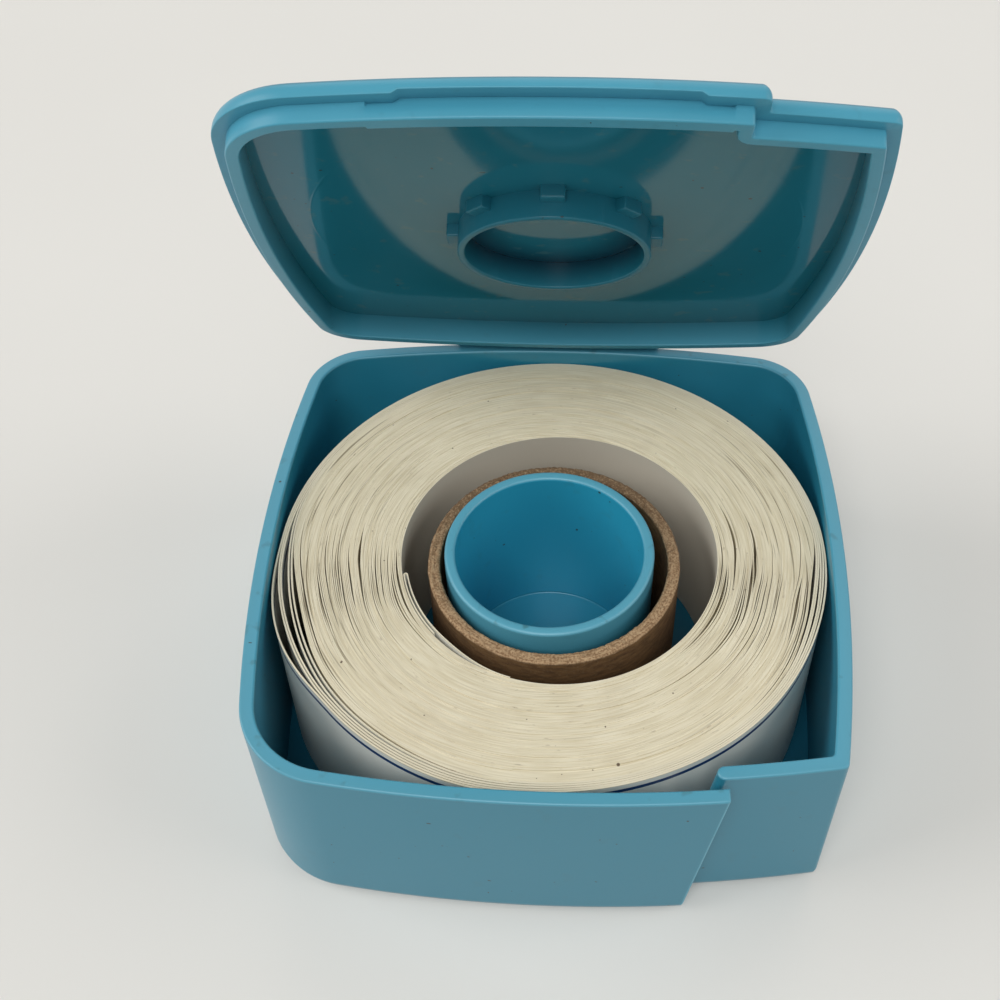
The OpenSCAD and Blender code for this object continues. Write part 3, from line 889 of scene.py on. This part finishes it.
def kraft(wire, place):
    """Brown board: a mottled side with its grain laid round the tube, and plies as fuzzy rings on the end."""
    y, height = (wire.along(place, axis) for axis in "YZ")
    grain_place = wire.node("ShaderNodeMapping", inputs={"Vector": place, "Scale": (0.3, 0.3, 1.0)})
    grain = wire.noise(grain_place, 1900.0, 4.0)
    fibre = wire.noise(place, 3600.0, 3.0)
    ply = wire.noise(along_turns(wire, place, 5 * mm, 0.2 * mm, core_mid), 1.0, 3.0)
    side = grain.between(0.25, 0.75).mixed(*board_tones)
    end = (0.45 * ply + 0.55 * fibre).between(0.36, 0.64).mixed(*board_end_tones)
    end = (0.72 * y.between(-6 * mm, 14 * mm)).mixed(end, shaded_end_tint)
    cut_end = height.between(core_top - 0.55 * mm, core_top - 0.15 * mm)
    pale = fibre.between(0.5, 0.75) * (0.12 + 0.4 * cut_end)
    relief = grain + cut_end * (fibre + ply - grain)
    return {
        "Base Color": pale.mixed(cut_end.mixed(side, end), fibre_tint),
        "Normal": wire.bump(relief, 0.6, 0.15 * mm),
    }


core.data.materials.append(material("kraft_board", kraft, Roughness=0.9))
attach(core, "core")
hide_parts("cardboard_core")

# Tight roll: about sixty turns of label paper wound on each other, seen on their cut edges.
# The turns lie close at the front and back, and gape here and there at the left and right.
roll_low, roll_high = (np.array(corner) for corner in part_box("label_roll"))
tape_top = roll_high[2]
tape_bottom = roll_low[2]
tape_t = 0.26 * mm
roll_r = 37.7 * mm
loose_count = 5
tape_end = np.radians(186)
bore_mid = np.array([1.3, 0.6]) * mm
bore_r = 21.8 * mm
turn_count = 62
roll_steps = 360
gap_depth = 2.2 * mm
least_gape = 0.004 * mm
gape_shape, gape_size, gape_most = 0.38, 0.27, 0.36
wave_h = 0.05 * mm
edge_drop = 0.1 * mm
paper_sharp = 30
# Each swell has a size in mm, the angle of its middle, and its reach before and after that in degrees.
# A sprung gap opens behind a turn, counted in from the outside, and swells as its row says.
out_of_round = ((0.98, 248, 21, 25), (0.68, 62, 140, 54), (-0.55, 172, 45, 26))
sprung_gaps = (
    (0, (0.96, 248, 20, 24)), (2, (0.78, 260, 38, 24)), (3, (0.22, 246, 60, 45)), (4, (0.22, 240, 60, 40)),
    (0, (0.15, 98, 14, 22)), (1, (0.09, 91, 10, 14)), (2, (0.22, 102, 15, 18)), (4, (0.14, 95, 13, 12)),
)
front_slack = (0.1, 215, 50, 60)
roll_angles = np.linspace(0.0, 2 * np.pi, roll_steps, endpoint=False)


def reach_to_circle(angles, centre, r):
    """Distance from the post's axis to a circle, along each angle clockwise from +Y."""
    along = compass(angles) @ centre
    return along + np.sqrt(along ** 2 + r ** 2 - centre @ centre)


def swell(angles, centre, reach_before, reach_after):
    """1 at a centre angle, falling smoothly to 0 at a reach before it and at another after it."""
    off = (angles - centre + np.pi) % (2 * np.pi) - np.pi
    share = off / np.where(off < 0, reach_before, reach_after)
    return np.clip(1.0 - share ** 2, 0.0, 1.0) ** 2


def bulge(angles, row):
    """One row of a table of swells, as a distance at each angle."""
    size, *way = row
    return size * mm * swell(angles, *np.radians(way))


def wound_reach(angles, turns_in):
    """Distance from the post's axis to the tape's middle line, some turns in from its free outer end."""
    reach = roll_r - tape_t / 2 - tape_t * turns_in + sum(bulge(angles, row) for row in out_of_round)
    slack_rows = [(turn, front_slack) for turn in range(loose_count)]
    for turn, row in (*sprung_gaps, *slack_rows):
        past_gap = turns_in - turn - (np.radians(row[1]) - tape_end) / (2 * np.pi) % 1.0
        inside_gap = np.clip(2 * past_gap - 0.5, 0.0, 1.0)
        reach = reach - inside_gap * bulge(angles, row)
    return reach


bore_reach = reach_to_circle(roll_angles, bore_mid, bore_r)
pack_turns_in = loose_count + (roll_angles - tape_end) / (2 * np.pi) % 1.0
pack_reach = wound_reach(roll_angles, pack_turns_in) + tape_t / 2
gape = np.full((turn_count, roll_steps), least_gape)
for middle, to_front in ((255, -1), (100, 1)):
    centres = np.radians(random.normal(middle, 7, turn_count))[:, None]
    to_front_reach = random.uniform(9, 48, turn_count)
    to_back_reach = random.uniform(8, 26, turn_count)
    before, after = np.radians(np.stack([to_front_reach, to_back_reach]))[::-to_front, :, None]
    widths = np.minimum(random.gamma(gape_shape, gape_size, turn_count), gape_most)[:, None] * mm
    gape += widths * swell(roll_angles, centres, before, after)
paper = (pack_reach - bore_reach - gape.sum(0)) / turn_count
starts = bore_reach + np.cumsum(np.r_[np.zeros((1, roll_steps)), (paper + gape)[:-1]], 0)
wavy = wave_h * smooth_noise(turn_count, roll_steps, 14.0, 6)
uneven = wavy + random.normal(0, 0.03, turn_count)[:, None] * mm
lift = np.minimum(uneven - edge_drop, 0.0)
turn_radii = np.stack([starts, starts, starts + paper, starts + paper], 1)
turn_heights = tape_top + lift[:, None, :] + np.array([-1.0, 0.0, 0.0, -1.0])[:, None] * gap_depth
roll_radii = np.concatenate([bore_reach[None], turn_radii.reshape(-1, roll_steps), pack_reach[None]])
bottom_row = np.full((1, roll_steps), tape_bottom)
roll_heights = np.concatenate([bottom_row, turn_heights.reshape(-1, roll_steps), bottom_row])
roll_rows = np.stack([roll_radii * np.sin(roll_angles), roll_radii * np.cos(roll_angles), roll_heights], -1)
roll_loop = numbered(roll_rows)[closed(len(roll_rows))][:, closed(roll_steps)]
roll = piece("tight_roll", roll_rows, quads(roll_loop), paper_sharp)

cream_tones = (0.66, 0.588, 0.42), (0.78, 0.718, 0.555)
blotch_tint = (0.60, 0.53, 0.385)
# Painted shade of the narrow gaps between turns.
gap_shade_tint = (0.22, 0.175, 0.105)
dirt_tint = (0.33, 0.265, 0.175)
speck_tint = (0.16, 0.12, 0.08)
bore_paper_tint = (0.58, 0.54, 0.455)


def edge_tone(wire, place):
    """Colour of cut paper edges: cream, fine streaks along the turns, lines of painted shade, and soft dirt.
    """
    streak = wire.noise(along_turns(wire, place, 6 * mm, 0.17 * mm), 1.0, 2.0)
    line = wire.noise(along_turns(wire, place, 11 * mm, 0.22 * mm), 1.0, 1.0)
    dirt = wire.noise(along_turns(wire, place, 1.6 * mm, 0.3 * mm), 1.0, 2.0)
    at_sides = wire.math("ABSOLUTE", wire.along(place, "X")).between(16 * mm, 33 * mm)
    blotch = wire.noise(place, 200.0, 3.0)
    tone = streak.between(0.3, 0.7).mixed(*cream_tones)
    tone = (0.3 * blotch.between(0.5, 0.75)).mixed(tone, blotch_tint)
    # Painted shade: dark lines along the turns, strongest at the sides where the gaps open.
    tone = (line.between(0.60, 0.72) * (0.15 + 0.7 * at_sides)).mixed(tone, gap_shade_tint)
    tone = (0.5 * dirt.between(0.66, 0.78)).mixed(tone, dirt_tint)
    speck = wire.noise(place, 1300.0, 0.0).between(0.85, 0.88)
    return speck.mixed(tone, speck_tint)


def cut_paper(wire, place):
    """Cut paper edges all over, and a plain greyer face in the bore."""
    _, from_bore = in_plan(wire, place, bore_mid)
    in_bore = from_bore < bore_r + 0.02 * mm
    return {"Base Color": in_bore.mixed(edge_tone(wire, place), bore_paper_tint)}


roll.data.materials.append(material("cut_paper_edges", cut_paper, Roughness=0.85))
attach(roll, "roll")
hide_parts("label_roll")

# Loose turns: the outer turns of the same tape, which have sprung open at the left and slightly at the right.
# The face is smooth white label paper with a thin printed blue rule near its upper edge.
paper_t = 0.235 * mm
loose_per_turn = 180
loose_dip = 0.1 * mm
rule_drop = 1.1 * mm
rule_w = 0.7 * mm
turns_in = np.linspace(loose_count, 0.0, loose_count * loose_per_turn + 1)
loose_angles = tape_end + 2 * np.pi * turns_in
loose_line = wound_reach(loose_angles, turns_in)[:, None] * compass(loose_angles)
loose_heights = tape_top - loose_dip * (0.5 + 0.5 * np.sin(loose_angles * 0.83 + 1.0))


def tape_strip(name, line, heights, thickness):
    """A strip of tape on edge: a line in plan, thickened along its normals and carried up to the heights."""
    aside = normals(line) * thickness / 2
    left, right = line + aside, line - aside
    low = np.full(len(line), tape_bottom)
    loop = [(left, low), (left, heights), (right, heights), (right, low)]
    rows = np.stack([np.c_[plan, rise] for plan, rise in loop])
    index = numbered(rows)
    faces = [*quads(index[closed(len(loop))]), index[:, 0].tolist(), index[:, -1].tolist()]
    return piece(name, rows, faces, paper_sharp)


loose = tape_strip("loose_tape", loose_line, loose_heights, paper_t)

face_tones = (0.77, 0.775, 0.715), (0.82, 0.82, 0.76)
strip_edge_tones = (0.68, 0.615, 0.455), (0.78, 0.72, 0.57)
rule_blue = (0.008, 0.04, 0.14)


def plain_paper(wire, place):
    """White paper faces, faintly blotched, between cream edges."""
    blotch = wire.noise(place, 180.0, 2.0)
    on_edge = wire.along(place, "Z").between(tape_top - 0.25 * mm, tape_top - 0.2 * mm)
    return {"Base Color": on_edge.mixed(blotch.mixed(*face_tones), blotch.mixed(*strip_edge_tones))}


def label_paper(wire, place):
    """The same paper, with a blue rule printed near its upper edge."""
    below = tape_top - wire.along(place, "Z")
    rule = (below > rule_drop) * (below < rule_drop + rule_w)
    return {"Base Color": rule.mixed(plain_paper(wire, place)["Base Color"], rule_blue)}


loose.data.materials.append(material("label_paper", label_paper, Roughness=0.32))
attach(loose, "roll")
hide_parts("loose_turns")

# Inner end of the tape: it has come away from the bore and is folded back outwards in a hairpin.
# The folded end lies between the tape and the bore.
fold_at = np.radians(257)
tail_root = np.radians(195)
tail_end = np.radians(228)
tail_off = 0.2 * mm
tail_drop = 0.02 * mm
fold_r = 0.24 * mm
tail_t = 0.17 * mm
leg_steps, fold_steps, flap_steps = 36, 11, 14


def bore_points(angles, stand):
    """Points that stand off the roll's bore, at clockwise angles about its middle."""
    return bore_mid + (bore_r - stand)[:, None] * compass(angles)


leg_share = np.linspace(0.0, 1.0, leg_steps)
leg_stand = (tail_off + 2 * fold_r) * np.sin(np.pi / 2 * np.clip(leg_share * 2.0, 0.0, 1.0)) ** 2
fold_turn = np.linspace(0.0, np.pi, fold_steps)[1:-1, None]
outward = compass(fold_at)
onward = np.array([np.cos(fold_at), -np.sin(fold_at)])
fold_mid = bore_points(np.array([fold_at]), np.array([tail_off + fold_r]))
tail_line = np.concatenate(
    [
        bore_points(tail_root + (fold_at - tail_root) * leg_share, leg_stand),
        fold_mid + fold_r * (np.sin(fold_turn) * onward - np.cos(fold_turn) * outward),
        bore_points(np.linspace(fold_at, tail_end, flap_steps), np.full(flap_steps, tail_off)),
    ]
)
tail = tape_strip("tape_end", tail_line, np.full(len(tail_line), tape_top - tail_drop), tail_t)
tail.data.materials.append(material("plain_paper", plain_paper, Roughness=0.6))
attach(tail, "roll")
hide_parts("tape_tail")
